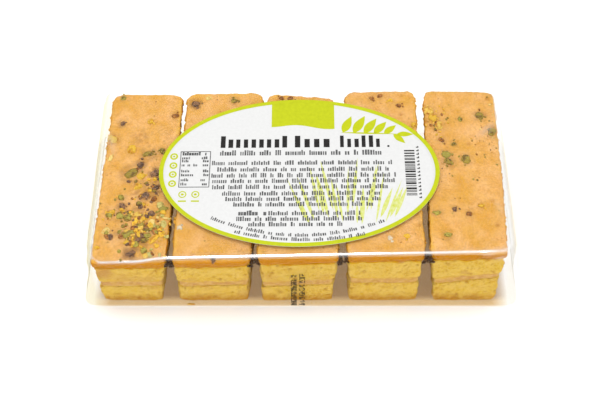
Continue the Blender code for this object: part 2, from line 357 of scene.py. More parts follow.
def nib_look():
    look = Look("pistachio", 0.55, 0.2)
    tint = look.attribute("tint", "Color")
    grain = look.band(look.noise(0.7, 3.0), 0.35, 0.65)
    share = look.maths("MULTIPLY", grain, 0.4)
    look.feed("Base Color", look.mix(share, tint, NIB_GRAIN, blend_type="MULTIPLY"))
    look.rough(grain, 0.45, 0.7)
    look.feed("Normal", look.bump(look.noise(0.5, 2.0), 0.15))
    return look.material


def film_look(name, shade_tinted=False):
    """Clear gloss: mirrors a little, more at a slant, and lets the rest through. A painted highlight raises
    its mirror share on the folds and creases.

    Under the slices the film carries a painted shadow, tan for the warm light bounced off the cake, and
    darker behind the slices' fronts as painted shade, which shows most of all between the slices.
    """
    look = Look(name)
    facing = look.add("ShaderNodeLayerWeight", {"Blend": 0.5}, output="Facing")
    slant = look.maths("POWER", facing, 5.0)
    share = look.band(slant, 0.0, 1.0, 0.004, 0.02 if shade_tinted else 0.12)
    # The crease attribute is a painted highlight: more mirror on the folds and wrinkles
    share = look.maths("ADD", share, look.maths("MULTIPLY", look.attribute("crease"), 0.8))
    crinkle = look.bump(look.noise(16.0, 2.0), 0.25)
    crinkle = look.bump(look.noise(3.0, 1.0), 0.012, crinkle)
    # The film's ends are tinted cream, a painted glow of warm light bounced off the cake
    tint = look.mix(look.attribute("end"), WHITE, FILM_BOUNCE_CREAM)
    if shade_tinted:
        y = look.axis("Y")
        under = look.reach(look.maths("ABSOLUTE", look.axis("X"), 0.0), UNDER_SHADE_ENDS, 1.0, 0.0)
        under = look.maths("MULTIPLY", under, look.reach(y, UNDER_SHADE_BACK, 1.0, 0.0))
        under = look.maths("MULTIPLY", under, look.reach(y, UNDER_SHADE_EDGE))
        # Painted shadow: tan under the slices' fronts, and darker painted gap shade behind them
        tint = look.mix(under, tint, look.mix(look.reach(y, UNDER_SHADE_FRONT), FILM_UNDER_SHADE, FILM_GAP_SHADE))
    clear = look.add("ShaderNodeBsdfTransparent", {"Color": tint})
    gloss_inputs = {"Color": WHITE, "Roughness": FILM_ROUGHNESS, "Normal": crinkle}
    gloss = look.add("ShaderNodeBsdfAnisotropic", gloss_inputs)
    both = look.add("ShaderNodeMixShader", {0: share, 1: clear, 2: gloss})
    look.links.new(both, look.nodes["Material Output"].inputs["Surface"])
    look.nodes.remove(look.shader)
    return look.material


def paper_look():
    look = Look("label_paper", 0.35)
    fibre = look.band(look.noise(1.2, 3.0), 0.3, 0.7)
    look.feed("Base Color", look.mix(fibre, PAPER, PAPER_FIBRE))
    look.rough(fibre, 0.3, 0.42)
    look.feed("Normal", look.bump(look.noise(0.8, 2.0), 0.01))
    return look.material


def ink_look(name, colour, worn):
    """Print of one colour, a little uneven."""
    look = Look(name, 0.4, 0.2)
    spread = look.band(look.noise(1.6, 3.0), 0.3, 0.7)
    look.feed("Base Color", look.mix(spread, colour, worn))
    look.rough(spread, 0.4, 0.55)
    return look.material


def make_camera():
    data = bpy.data.cameras.new("camera")
    data.lens = CAMERA_LENS
    data.clip_start = 0.01
    camera = link("camera", data)
    camera.location = Vector(CAMERA_PLACE) * MM
    camera.rotation_euler = (math.radians(CAMERA_TILT), 0, 0)
    bpy.context.scene.camera = camera


def make_studio():
    scene = bpy.context.scene
    scene.view_settings.view_transform = "Standard"
    scene.view_settings.look = "None"
    world = bpy.data.worlds.new("studio")
    world.use_nodes = True
    background = world.node_tree.nodes["Background"]
    background.inputs["Color"].default_value = WHITE
    background.inputs["Strength"].default_value = ROOM_LIGHT
    scene.world = world
    for name, (place, size, power) in (("key", KEY_LIGHT), ("fill", FILL_LIGHT)):
        light = bpy.data.lights.new(name, "AREA")
        light.shape = "DISK"
        light.size = size * MM
        light.energy = power
        lamp = link(name, light)
        lamp.location = Vector(place) * MM
        lamp.rotation_euler = (-lamp.location).to_track_quat("-Z", "Y").to_euler()
    shape = bmesh.new()
    bmesh.ops.create_grid(shape, x_segments=4, y_segments=4, size=FLOOR_SIZE / 2)
    floor = link("floor", mesh_from(shape, "floor"))
    look = Look("floor", 0.8)
    drift = look.band(look.noise(300.0, 1.0), 0.3, 0.7)
    look.feed("Base Color", look.mix(drift, FLOOR_LIGHT, FLOOR_DIM))
    floor.data.materials.append(look.material)


class Relief(NamedTuple):
    """Surface of a food piece: its grid, growth, lumps as (size, height), and pores as (size, share, depth).

    The side value is the height of extra lumps on its upright faces.
    """

    voxel: float
    grow: float
    side: float
    lumps: tuple
    pores: tuple


SPONGE_RELIEF = Relief(
    voxel=0.75, grow=0.15, side=0.6,
    lumps=((5.5, 0.45), (1.9, 0.4), (0.9, 0.22)),
    pores=((3.6, 0.4, 1.0), (1.9, 0.5, 0.6)),
)
FILLING_RELIEF = Relief(
    voxel=1.0, grow=0.0, side=0.2,
    lumps=((6.0, 0.15), (2.0, 0.15)),
    pores=((2.8, 0.2, 0.5),),
)
ICING_RELIEF = Relief(
    voxel=0.8, grow=0.15, side=0.9,
    lumps=((14.0, 0.16), (3.0, 0.06)),
    pores=((5.0, 0.1, 0.45), (2.4, 0.12, 0.25)),
)
PORE_REACH = 0.38

# Size and weight of the extra lumps on upright faces, and how calm the relief is near the pack's floor
RAGGED_LUMPS = ((3.6, 1.0), (1.5, 0.6))
FLOOR_CALM = 0.25
CALM_SPAN = (0.8, 5.0)


def cell_share(point):
    """An even random number from 0 to 1 that belongs to a point."""
    return math.sin(point.x * 12.9898 + point.y * 78.233 + point.z * 37.719) * 43758.5453 % 1.0


def pore_at(point, size, share):
    """Depth of a pore at a point, from 0 to 1. Only a share of the places of that size hold one."""
    distances, centres = noise.voronoi(point / size)
    if cell_share(centres[0]) > share:
        return 0.0
    return max(0.0, 1 - distances[0] / PORE_REACH)


def remeshed(name, node, voxel):
    """A new object with a CAD node's form on an even, fine mesh."""
    piece = link(name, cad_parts[node].data.copy())
    remesh = piece.modifiers.new("remesh", "REMESH")
    remesh.mode = "VOXEL"
    remesh.voxel_size = voxel * MM
    evaluated = piece.evaluated_get(bpy.context.evaluated_depsgraph_get())
    fine = bpy.data.meshes.new_from_object(evaluated)
    piece.modifiers.clear()
    piece.data = fine
    fine.name = name
    return piece


def read_points(mesh, field="co"):
    values = np.empty(len(mesh.vertices) * 3, np.float32)
    mesh.vertices.foreach_get(field, values)
    return values.reshape(-1, 3)


def write_points(mesh, points):
    """Set a mesh's points, which are given in millimetres."""
    mesh.vertices.foreach_set("co", (points * MM).ravel())
    mesh.update()


def store(mesh, names, rows):
    """Numbers that the material reads by name, in a row for each vertex."""
    for name, values in zip(names, zip(*rows)):
        layer = mesh.attributes.new(name, "FLOAT", "POINT")
        layer.data.foreach_set("value", np.asarray(values, np.float32))


def roughen(piece, relief, ceiling=None):
    """Raise crumb and sink pores along a piece's normals, less so at the pack's floor.

    Returns the piece's points and normals in millimetres.
    """
    mesh = piece.data
    points = read_points(mesh) / MM
    normals = read_points(mesh, "normal")
    if ceiling is not None:
        points[:, 2] = np.minimum(points[:, 2], ceiling)
    moves = []
    pores = []
    for place, normal in zip(points, normals):
        point = Vector(place)
        ragged = sum(weight * noise.noise(point / size) for size, weight in RAGGED_LUMPS)
        move = relief.grow + relief.side * (1 - abs(normal[2])) * ragged
        for size, height in relief.lumps:
            move += height * noise.noise(point / size)
        deepest = 0.0
        for size, share, depth in relief.pores:
            pore = pore_at(point, size, share)
            move -= depth * step(pore, 0, 0.8)
            deepest = max(deepest, pore * min(1.0, depth * 1.6))
        moves.append(move * (FLOOR_CALM + (1 - FLOOR_CALM) * step(point.z, *CALM_SPAN)))
        # How deep a pore sinks here, which the materials paint as painted shade
        pores.append((step(deepest, 0.1, 0.7),))
    points += normals * np.array(moves, np.float32)[:, None]
    write_points(mesh, points)
    mesh.shade_smooth()
    store(mesh, ("pore",), pores)
    return points, normals


# Filling smeared on the cut fronts: x, z, radius and strength of each place
SMEARS = {
    "slice_1": ((-93, 31, 6, 0.9), (-84, 24, 7, 0.5), (-73, 21, 9, 0.45)),
    "slice_2": (
        (-52, 20.5, 5, 0.5), (-46, 18, 5, 0.35), (-26.5, 22, 3.5, 0.5),
        (-51, 6, 4, 0.5), (-27, 8.5, 4.5, 0.45),
    ),
    "slice_3": ((-14, 23.5, 6, 0.35), (10, 24, 5, 0.35)),
    "slice_4": ((47, 37, 1.6, 0.8),),
    "slice_5": ((77.5, 27, 2.6, 0.6),),
}
SMEAR_BACK = -40.0
SMEAR_REACH = 1.3

# How far the browned base, the soaked top and the icing's drips reach up or down a sponge, and their fades
BASE_HEIGHT = 10.0
BASE_FADE = 6.8
SOAK_HEIGHT = 3.0
SOAK_FADE = 2.4
SOAK_SWELL = 0.55
DRIP_HEIGHT = 1.7
DRIP_FADE = 0.9
SPONGE_FOOT = 0.4
FILLING_SWELL = 0.8


def smear_at(point, wobble, smears):
    """How much filling is smeared on a cut front at a point."""
    amount = 0.0
    for x, z, radius, strength in smears:
        away = math.hypot(point.x - x, point.z - z) / radius
        if point.y < SMEAR_BACK and away < SMEAR_REACH:
            amount = max(amount, strength * step(1.2 - away + 0.3 * wobble, 0, 0.8))
    return amount


def make_sponge(cake, layer, look):
    """A sponge: browned at its foot or soaked golden under the icing, with smears of filling."""
    node = f"{cake}_{layer}"
    is_lower = layer == "lower_sponge"
    piece = remeshed(f"{node}_crumb", node, SPONGE_RELIEF.voxel)
    points, normals = roughen(piece, SPONGE_RELIEF)
    points[:, 2] = np.maximum(points[:, 2], SPONGE_FOOT)
    floor = points[:, 2].min()
    ceiling = points[:, 2].max()
    if not is_lower:
        swell = [SOAK_SWELL * step(SOAK_HEIGHT + 1 - (ceiling - z), 0, 3) for z in points[:, 2].tolist()]
        points[:, :2] += normals[:, :2] * np.array(swell, np.float32)[:, None]
    write_points(piece.data, points)
    rows = []
    for (x, y, z), normal in zip(points.tolist(), normals.tolist()):
        point = Vector((x, y, z))
        wobble = 1.6 * noise.noise(point / 3.5)
        base = soak = drip = 0.0
        if is_lower:
            base = max(step(BASE_HEIGHT + wobble - (z - floor), 0, BASE_FADE), step(-normal[2], 0.6, 0.95))
        else:
            soak = step(SOAK_HEIGHT + wobble - (ceiling - z), 0, SOAK_FADE)
            drip = step(DRIP_HEIGHT + 0.4 * wobble - (ceiling - z), 0, DRIP_FADE)
        rows.append((base, soak, drip, smear_at(point, wobble, SMEARS[cake])))
    store(piece.data, ("base", "soak", "drip", "smear"), rows)
    finish_piece(piece, look, "sponge", node)
    return points


def make_filling(cake, look):
    """A filling, which is lost in crumb along its upper and lower edges."""
    node = f"{cake}_filling"
    piece = remeshed(f"{node}_cream", node, FILLING_RELIEF.voxel)
    points, normals = roughen(piece, FILLING_RELIEF)
    points[:, 2] += FILLING_SWELL * normals[:, 2]
    write_points(piece.data, points)
    store(piece.data, ("rim",), [(step(abs(z), 0.12, 0.55),) for z in normals[:, 2].tolist()])
    finish_piece(piece, look, "filling", node)
    return points


class Kind(NamedTuple):
    """A kind of nib: colours of its flesh and skin, the skin's share, and how much it stains the icing."""

    flesh: tuple
    skin: tuple
    skin_share: float
    stain: float


KINDS = {
    "yellow": Kind(screen(246, 198, 62), screen(212, 146, 40), 0.35, 0.15),
    "chunk": Kind(screen(246, 206, 92), screen(200, 128, 46), 0.4, 0.2),
    "pale": Kind(screen(248, 220, 132), screen(226, 176, 84), 0.3, 0),
    "green": Kind(screen(184, 172, 74), screen(142, 116, 46), 0.4, 0.3),
    "olive": Kind(screen(172, 150, 60), screen(128, 102, 46), 0.45, 0.4),
    "dark": Kind(screen(158, 118, 84), screen(108, 82, 62), 0.5, 0.8),
    "brown": Kind(screen(190, 128, 58), screen(136, 86, 42), 0.5, 0.3),
    "mint": Kind(screen(214, 202, 118), screen(178, 158, 80), 0.35, 0.1),
    "cream": Kind(screen(236, 222, 192), screen(214, 190, 150), 0.3, 0),
}

# Nibs on each slice: x, y, length, width, turn in degrees, and kind
NIBS = {
    "slice_1": (
        (-93.4, 20, 5, 6, 0, "chunk"), (-83.3, 13.9, 4.6, 5.2, 0, "yellow"),
        (-82.6, -0.5, 6.8, 4.4, 35, "olive"), (-78.4, 4.3, 3.6, 3.8, 0, "dark"),
        (-77.5, -1.8, 4.4, 4.6, 20, "yellow"), (-78.6, -8.3, 4.2, 3.4, -20, "yellow"),
        (-71, -0.5, 4.2, 3.8, 40, "dark"), (-74.6, -13.3, 3.6, 3.2, 0, "dark"),
        (-69.8, -9, 4.2, 2.2, 30, "dark"), (-85.2, -19.8, 3, 3.4, 0, "dark"),
        (-86, -25, 4.2, 4, 0, "green"), (-78, -27.4, 6.6, 2.6, 58, "yellow"),
        (-70.3, -29, 3.2, 4.4, 15, "pale"), (-80.4, -34.4, 7, 3.2, 42, "green"),
        (-74.6, -36, 4.8, 2.6, -10, "dark"), (-68.8, -37.6, 5.8, 2.6, 50, "yellow"),
        (-77.9, -40.4, 4, 2.8, 0, "yellow"), (-91.6, -33.5, 3, 4.2, -40, "pale"),
        (-78.8, -45.6, 5, 2.4, 14, "dark"), (-70.4, -46.4, 3.6, 3, 0, "mint"),
        (-67.2, -18.9, 3.6, 3.4, 0, "mint"), (-62.9, 34.3, 3.4, 2.8, 20, "brown"),
        (-75, 11.2, 5.4, 2.8, 8, "olive"), (-68.4, 12.8, 3, 3.2, 0, "olive"),
        (-89.2, 29.9, 2.8, 2, 35, "dark"), (-93.3, 8.3, 2.4, 3.8, -15, "pale"),
        (-90.2, 45.8, 3, 2.6, 0, "green"), (-75.4, 31, 2.6, 3.4, -20, "yellow"),
        (-90.6, -23.5, 4.4, 2.8, 12, "yellow"), (-85.9, -14.6, 3, 3.4, 0, "green"),
        (-64.9, -29.6, 2.8, 4, 0, "mint"), (-65.9, -34.6, 2.6, 4.4, 0, "yellow"),
    ),
    "slice_2": (
        (-53.2, 41.6, 3.8, 3.4, 0, "dark"), (-46.8, 45.2, 3, 2.4, 20, "pale"),
        (-34, 43.6, 3.2, 2.6, 0, "olive"), (-57.2, -31.5, 2.2, 2.2, 0, "cream"),
        (-40.6, -49.2, 2.4, 3, 10, "dark"), (-40.9, -47.6, 2.8, 2, 0, "mint"),
    ),
    "slice_3": (
        (-9.9, 44.8, 2.6, 2.2, 0, "brown"), (-5.4, 44.6, 2.8, 2.4, 30, "brown"),
    ),
    "slice_4": (
        (40.1, 46, 2.8, 2.4, 0, "brown"), (35.8, 44.2, 2.6, 2.2, 0, "brown"),
        (49.2, 39.6, 2.6, 2.2, 0, "brown"), (45.3, 43, 2.6, 2.2, 20, "yellow"),
        (49.3, -37.2, 3, 2.4, 0, "yellow"), (41.4, -38.2, 2.6, 2.2, 0, "cream"),
        (56.4, 27.4, 3, 3.2, 0, "yellow"),
    ),
    "slice_5": (
        (63.8, 36.2, 5, 4.4, -20, "chunk"), (66.2, 31.8, 4.8, 4.2, -50, "yellow"),
        (68.8, 27.4, 5.6, 4.2, -55, "chunk"), (89.2, 33, 4.2, 4.8, 0, "olive"),
        (94.8, 23.1, 5, 4.2, 0, "olive"), (71, 9.4, 4.2, 3.6, 0, "green"),
        (72.2, 5, 4.6, 3.2, -35, "olive"), (80.6, 6.5, 4.2, 5, 0, "olive"),
        (75.2, 15.7, 2.4, 2.6, 0, "olive"), (79.5, 31, 2.2, 2.6, 0, "green"),
        (69.4, 18.2, 3.2, 2.2, -30, "brown"), (64.6, -24.4, 3.4, 2.2, 20, "green"),
        (72.7, -22.4, 2.2, 2.6, 0, "dark"), (68.6, -36.7, 3.6, 2.6, 0, "green"),
        (85.4, -20.3, 2.8, 2.2, 0, "yellow"), (79.3, -25, 2.8, 2.4, 0, "brown"),
    ),
}

# Stained places of the icing: x, y, radius and strength of each
STAINS = {
    "slice_1": (
        (-77, -31, 16, 0.85), (-73, -8, 12, 0.6), (-79.5, 22, 5.5, 0.45),
        (-68, 25, 5, 0.25), (-66, -36, 7, 0.4),
    ),
    "slice_2": ((-26, -45, 4.5, 0.6),),
    "slice_4": ((41.5, -38.5, 3.5, 0.35),),
    "slice_5": ((67, 31, 6, 0.3), (77, 8, 8, 0.2)),
}

# The icing's top ends this far below its highest point. Its front rim and its paler edge are this wide.
ICING_TOP_DEPTH = 1.2
ICING_RIM = 1.9
ICING_EDGE_WIDTH = 3.2


def stain_at(point, nibs, patches):
    """How stained the icing is at a point, from the dark nibs near it and its stained places."""
    amount = 0.0
    for x, y, radius, strength in patches:
        away = math.hypot(point.x - x, point.y - y) / radius
        blotch = step(noise.noise(point / 2.8 + Vector((x, y, 0))), -0.1, 0.45)
        amount = max(amount, strength * step(1.2 - away, 0, 0.9) * (0.25 + 0.75 * blotch))
    for x, y, length, _, _, kind in nibs:
        strength = KINDS[kind].stain
        if strength:
            away = math.hypot(point.x - x, point.y - y)
            amount = max(amount, strength * step(length * 0.9 + 1.4 - away, 0, 3.0))
    return amount * step(noise.noise(point / 2.2), -0.65, 0.15)


def make_icing(cake, look):
    """An icing: smooth and pitted above, stained round its dark nibs, amber on its cut sides."""
    node = f"{cake}_icing"
    top = TOPS[cake]
    piece = remeshed(f"{node}_glaze", node, ICING_RELIEF.voxel)
    points, normals = roughen(piece, ICING_RELIEF, ceiling=top)
    low, high = points.min(axis=0), points.max(axis=0)
    rows = []
    for (x, y, z), normal in zip(points.tolist(), normals.tolist()):
        point = Vector((x, y, z))
        wobble = noise.noise(point / 4.0)
        inset = min(x - low[0], high[0] - x, y - low[1], high[1] - y)
        front = stain = 0.0
        if z > top - ICING_TOP_DEPTH:
            front = step(ICING_RIM + 0.8 * wobble - (y - low[1]), 0, 1.2)
            stain = stain_at(point, NIBS[cake], STAINS.get(cake, ()))
        edge = step(ICING_EDGE_WIDTH + 1.5 * wobble - inset, 0, 3.0)
        rows.append((step(0.8 - normal[2], 0, 0.25), front, edge, stain))
    store(piece.data, ("side", "front", "edge", "stain"), rows)
    finish_piece(piece, look, "icing", node)
    return points


# Nibs: flat breaks on each, its growth over the size in the table, its height as a share of its width, how
# far it stands out of the icing, and the bits broken off round it. Strewn bits have a greatest height and
# keep away from the slice's edge.
NIB_BREAKS = 7
NIB_SWELL = 1.12
NIB_TALLNESS = 0.62
NIB_RISE = 1.3
NIB_RISE_SHARE = 0.6
NIB_BITS = 3
STREWN_TALLEST = 1.8
STREWN_INSET = 1.5


def add_nib(shape, tints, draw, centre, size, turn, kind, detail=2):
    """One broken nib or crumb: a lumpy ball cut by flat breaks, with skin over part of it."""
    place = Matrix.Rotation(math.radians(turn), 3, "Z")
    lean = Euler((draw.uniform(-0.4, 0.4), draw.uniform(-0.4, 0.4), 0)).to_matrix()
    breaks = []
    for _ in range(NIB_BREAKS):
        out = Vector((draw.gauss(0, 1), draw.gauss(0, 1), draw.gauss(0, 1))).normalized()
        breaks.append((out, draw.uniform(0.6, 0.9)))
    shift = Vector(centre) * 3
    shade = draw.uniform(0.88, 1.1)
    ball = bmesh.ops.create_icosphere(shape, subdivisions=detail, radius=1.0)
    for vertex in ball["verts"]:
        out = vertex.co.copy()
        reach = 1.0
        for way, distance in breaks:
            facing = out.dot(way)
            if facing > 0.2:
                reach = min(reach, distance / facing)
        reach += 0.14 * noise.noise(out * 2.2 + shift)
        corner = lean @ (out * reach)
        vertex.co = Vector(centre) + place @ Vector([corner[axis] * size[axis] / 2 for axis in range(3)])
        covered = noise.noise(out * 1.3 + shift) * 0.5 + 0.5 < kind.skin_share
        colour = kind.skin if covered else kind.flesh
        vertex[tints] = (*(level * shade for level in colour[:3]), 1.0)


class Scatter(NamedTuple):
    """Small bits strewn on a slice: middle, spread, count, size from and to, and their kinds."""

    middle: tuple
    spread: tuple
    count: int
    size: tuple
    kinds: tuple


SPECKS = Scatter((0, 0), (1, 1), 55, (0.35, 1), ("brown", "olive", "brown", "brown", "yellow", "green"))
SCATTERS = {
    "slice_1": (
        Scatter((-77, -30), (7, 8), 75, (1.8, 4.2), ("yellow", "green", "olive", "chunk", "brown", "dark")),
        Scatter((-76, -28), (8.5, 10), 80, (0.7, 1.8), ("yellow", "green", "olive", "brown", "dark")),
        Scatter((-74, -6), (6, 8), 30, (0.9, 2.8), ("dark", "yellow", "olive", "brown")),
        Scatter((-66, -31), (2.6, 9), 36, (1.2, 3.2), ("mint", "pale", "yellow", "green")),
    ),
    "slice_5": (
        Scatter((68, 30), (4, 6), 34, (0.6, 1.9), ("chunk", "yellow", "brown", "olive")),
        Scatter((78, 8), (9, 8), 26, (0.5, 1.6), ("olive", "dark", "green", "yellow")),
        Scatter((93, 24), (3, 10), 22, (0.5, 1.5), ("olive", "brown", "dark", "pale")),
    ),
}


def strew(shape, tints, draw, scatter, bounds, top):
    """Scatter small nibs within the slice's edges."""
    low, high = bounds
    for _ in range(scatter.count):
        x = draw.gauss(scatter.middle[0], scatter.spread[0])
        y = draw.gauss(scatter.middle[1], scatter.spread[1])
        length = draw.uniform(*scatter.size)
        width = length * draw.uniform(0.5, 0.95)
        height = min(STREWN_TALLEST, length * draw.uniform(0.4, 0.7))
        kind = KINDS[draw.choice(scatter.kinds)]
        is_inside = low.x + STREWN_INSET < x < high.x - STREWN_INSET
        if is_inside and low.y + STREWN_INSET < y < high.y - STREWN_INSET:
            centre = (x, y, top + 0.12 + height * 0.15)
            add_nib(shape, tints, draw, centre, (length, width, height), draw.uniform(0, 360), kind)


def make_nibs(cake, look):
    """All nibs and specks of one slice, as one piece pressed into the icing."""
    draw = random.Random(f"nibs {cake}")
    top = TOPS[cake]
    low, high = box_of(f"{cake}_icing")
    shape = bmesh.new()
    tints = shape.verts.layers.float_color.new("tint")
    for x, y, length, width, turn, name in NIBS[cake]:
        kind = KINDS[name]
        height = NIB_TALLNESS * min(length, width)
        rise = min(NIB_RISE, height * NIB_RISE_SHARE)
        size = (length * NIB_SWELL, width * NIB_SWELL, height)
        add_nib(shape, tints, draw, (x, y, top + rise - height / 2), size, turn, kind, detail=3)
        for _ in range(NIB_BITS):
            small = draw.uniform(0.8, 2.0)
            aside = (x + draw.gauss(0, length * 0.45), y + draw.gauss(0, width * 0.45), top + 0.2)
            size = (small, small * 0.7, small * 0.6)
            add_nib(shape, tints, draw, aside, size, draw.uniform(0, 360), kind)
    middle = ((low.x + high.x) / 2, (low.y + high.y) / 2)
    spread = ((high.x - low.x) / 3, (high.y - low.y) / 3)
    specks = SPECKS._replace(middle=middle, spread=spread)
    for scatter in (*SCATTERS.get(cake, ()), specks):
        strew(shape, tints, draw, scatter, (low, high), top)
    piece = link(f"{cake}_nibs", mesh_from(shape, f"{cake}_nibs", smooth_angle=40))
    finish_piece(piece, look, "icing")


SPONGE_CRUMB = Kind(SPONGE_PALE, SPONGE_GOLD, 0.4, 0.0)
RIM_CRUMB = Kind(screen(240, 190, 74), screen(226, 158, 48), 0.4, 0.0)
DARK_CRUMB = Kind(screen(104, 70, 30), screen(62, 42, 18), 0.5, 0.0)
RIM_CRUMBS = 90
SPONGE_CRUMBS = 40
DARK_CRUMBS = 38
DARK_REACH = 3.0
OUTER_SIDES = (("slice_1", -1), ("slice_5", 1))
FOOT_CRUMB = ("slice_2", (-54.0, 1.1), (4.4, 1.0, 1.5))


def side_x(points, y, z, side):
    """How far a slice reaches to one side, -1 or 1, at a place along and up it."""
    near = points[(np.abs(points[:, 1] - y) < 1.2) & (np.abs(points[:, 2] - z) < 1.2), 0]
    return float(near.min() if side < 0 else near.max())


def make_crumbs(cake, points, look):
    """Crumbs that cling to a slice's long sides: golden under the rim, dark where two cut fronts meet."""
    draw = random.Random(f"crumbs {cake}")
    top = TOPS[cake]
    front, back = float(points[:, 1].min()), float(points[:, 1].max())
    shape = bmesh.new()
    tints = shape.verts.layers.float_color.new("tint")

    def cling(side, y, z, length, kind, out=-0.3):
        x = side_x(points, y, z, side) + side * out * length
        size = (length, length * draw.uniform(0.6, 1), length * draw.uniform(0.6, 1))
        add_nib(shape, tints, draw, (x, y, z), size, draw.uniform(0, 360), kind)

    for _ in range(RIM_CRUMBS):
        z = top - 0.8 - 3.2 * draw.random() ** 2
        side = draw.choice((-1, 1))
        cling(side, draw.uniform(front + 5, back - 5), z, draw.uniform(0.6, 2.2), RIM_CRUMB)
    for _ in range(SPONGE_CRUMBS):
        z = draw.uniform(4, top - ICING_THICKNESS[cake])
        side = draw.choice((-1, 1))
        cling(side, draw.uniform(front + 3, back - 3), z, draw.uniform(0.6, 1.8), SPONGE_CRUMB)
    for side in (-1, 1):
        if (cake, side) not in OUTER_SIDES:
            for _ in range(DARK_CRUMBS):
                y = front + 1.6 + DARK_REACH * draw.random() ** 2
                z = top - draw.uniform(1.6, 6.0)
                cling(side, y, z, draw.uniform(0.5, 1.7), DARK_CRUMB, draw.uniform(0, 1.1))
    owner, (x, z), size = FOOT_CRUMB
    if cake == owner:
        add_nib(shape, tints, draw, (x, front + 0.1, z), size, 0, RIM_CRUMB)
    piece = link(f"{cake}_crumbs", mesh_from(shape, f"{cake}_crumbs", smooth_angle=60))
    finish_piece(piece, look, "sponge")


def film_top(x):
    """Height of the film's outer face over the slices."""
    return FILM_TOP + FILM_TOP_SLOPE * x


def round_corner(u, v, half_length, half_width, radius):
    """A point of a rectangle, at shares u and v of its half sizes, with the rectangle's corners rounded."""
    point = Vector((u * half_length, v * half_width))
    inner = Vector((
        max(-half_length + radius, min(half_length - radius, point.x)),
        max(-half_width + radius, min(half_width - radius, point.y)),
    ))
    out = point - inner
    reach = max(abs(out.x), abs(out.y))
    if reach == 0:
        return point
    return inner + out.normalized() * reach


def corner_stops(cells, corner, half_size):
    """Stops from -1 to 1, close together round each corner and even between."""
    arc = [math.tan(math.radians(angle)) * corner / half_size for angle in (15, 30, 45)]
    inner = 1 - corner / half_size
    middle = [-inner + 2 * inner * number / cells for number in range(cells + 1)]
    return [-inner - out for out in reversed(arc)] + middle + [inner + out for out in arc]


class Wrinkle(NamedTuple):
    """A crease in the film: its two ends, its width and its height."""

    start: tuple
    end: tuple
    width: float
    height: float


WRINKLES = (
    Wrinkle((84, -47.5, 44), (97, -44.5, 44), 1.3, 0.9),
    Wrinkle((87, -50.5, 40), (97.5, -46.5, 43.5), 1.2, -0.7),
    Wrinkle((99, -40, 40), (93, -20, 44.5), 1.6, 0.35),
    Wrinkle((99, 30, 42), (88, 20, 44.8), 1.8, 0.3),
    Wrinkle((-99, 30, 40), (-92, 12, 43), 1.6, 0.35),
    Wrinkle((96, -50.5, 24), (108, -50.8, 4), 1.6, 1),
    Wrinkle((98, -49.6, 30), (107, -45, 8), 1.6, 0.8),
    Wrinkle((-98, -50.4, 28), (-107, -46, 6), 1.6, 0.8),
)

# Cells of the film's mesh: along X and Y, up its walls, and over the bend by their angles in degrees
FILM_CELLS = (110, 56)
WALL_CELLS = 16
BEND_ANGLES = (15, 30, 45, 60, 75, 90)

# The bright line on the film's fold: its strength at the front and elsewhere, its ends at the front, and the
# angles in degrees over the top edge between which it comes up and fades out
FRONT_GLINT = 1.0
FRONT_GLINT_ENDS = (-97.0, 93.0)
FRONT_DEPTH = 6.0
OTHER_GLINT = 0.45
WRINKLE_GLINT = 0.16
FOLD_RISE = (56, 74)
FOLD_FALL = (76, 92)

# The film sags at the front's left end: where, how deep, and how far it leans in with that
DIP_ENDS = (-78.0, -63.0)
DIP_FRONT = (-49.0, -30.0)
DIP_DEPTH = 1.9
DIP_LEAN = 0.26

# The flap on each end, and how strongly the film there is tinted cream on the left and on the right, a
# painted glow of warm light bounced off the cake
END_FLAP_HALF_WIDTH = 44.0
END_FLAP_TAPER = 0.55
END_FLAP_STEP = 0.55
END_CREAM_GLOW = (1.0, 0.3)


def film_relief(point):
    """How far the film stands out at a point, and how creased it is there.

    It has long waves, creases, and a folded flap on each end.
    """
    move = 0.22 * noise.noise(point / 34) + 0.06 * noise.noise(point / 9)
    fold = 0.0
    for crease in WRINKLES:
        start, end = Vector(crease.start), Vector(crease.end)
        run = end - start
        along = max(0.0, min(1.0, (point - start).dot(run) / run.length_squared))
        away = (point - start - run * along).length / crease.width
        if away < 3:
            ridge = math.exp(-away * away) * math.sin(math.pi * (0.1 + 0.8 * along))
            move += crease.height * ridge
            fold = max(fold, ridge)
    if abs(point.x) > FILM_END_TOP - 2:
        half = END_FLAP_HALF_WIDTH - END_FLAP_TAPER * (film_top(point.x) - point.z)
        flap = step(half - abs(point.y) + 0.8 * noise.noise(point / 12), 0, 0.9)
        move += END_FLAP_STEP * flap
    return move, fold


def film_point(u, v, share, bend, half_length_foot, half_depth_foot):
    """A point of the film's outer face: share runs up the wall, then bend runs over the top edge."""
    spread = half_length_foot - FILM_END_TUCK - FILM_END_TOP
    half_length = FILM_END_TOP + spread * (1 - share) ** FILM_END_HOLLOW - FILM_BEND * bend
    front_top = FILM_FRONT_TOP + FILM_FRONT_SLOPE * u * half_length
    front = FILM_FRONT_FOOT + (front_top - FILM_FRONT_FOOT) * share
    back = half_depth_foot + (FILM_BACK_TOP - half_depth_foot) * share
    half_depth = (back - front) / 2 - FILM_BEND * bend
    plan = round_corner(u, v, half_length, half_depth, FILM_CORNER)
    arc = math.sqrt(max(0.0, 1 - (1 - bend) ** 2))
    shoulder = film_top(plan.x) - FILM_BEND
    height = FILM_FOOT + (shoulder - FILM_FOOT) * share + FILM_BEND * arc
    dip = DIP_DEPTH * fall(plan.x, *DIP_ENDS) * fall(plan.y, *DIP_FRONT) * share ** 4
    return Vector((plan.x, plan.y + (back + front) / 2 - DIP_LEAN * dip, height - dip))


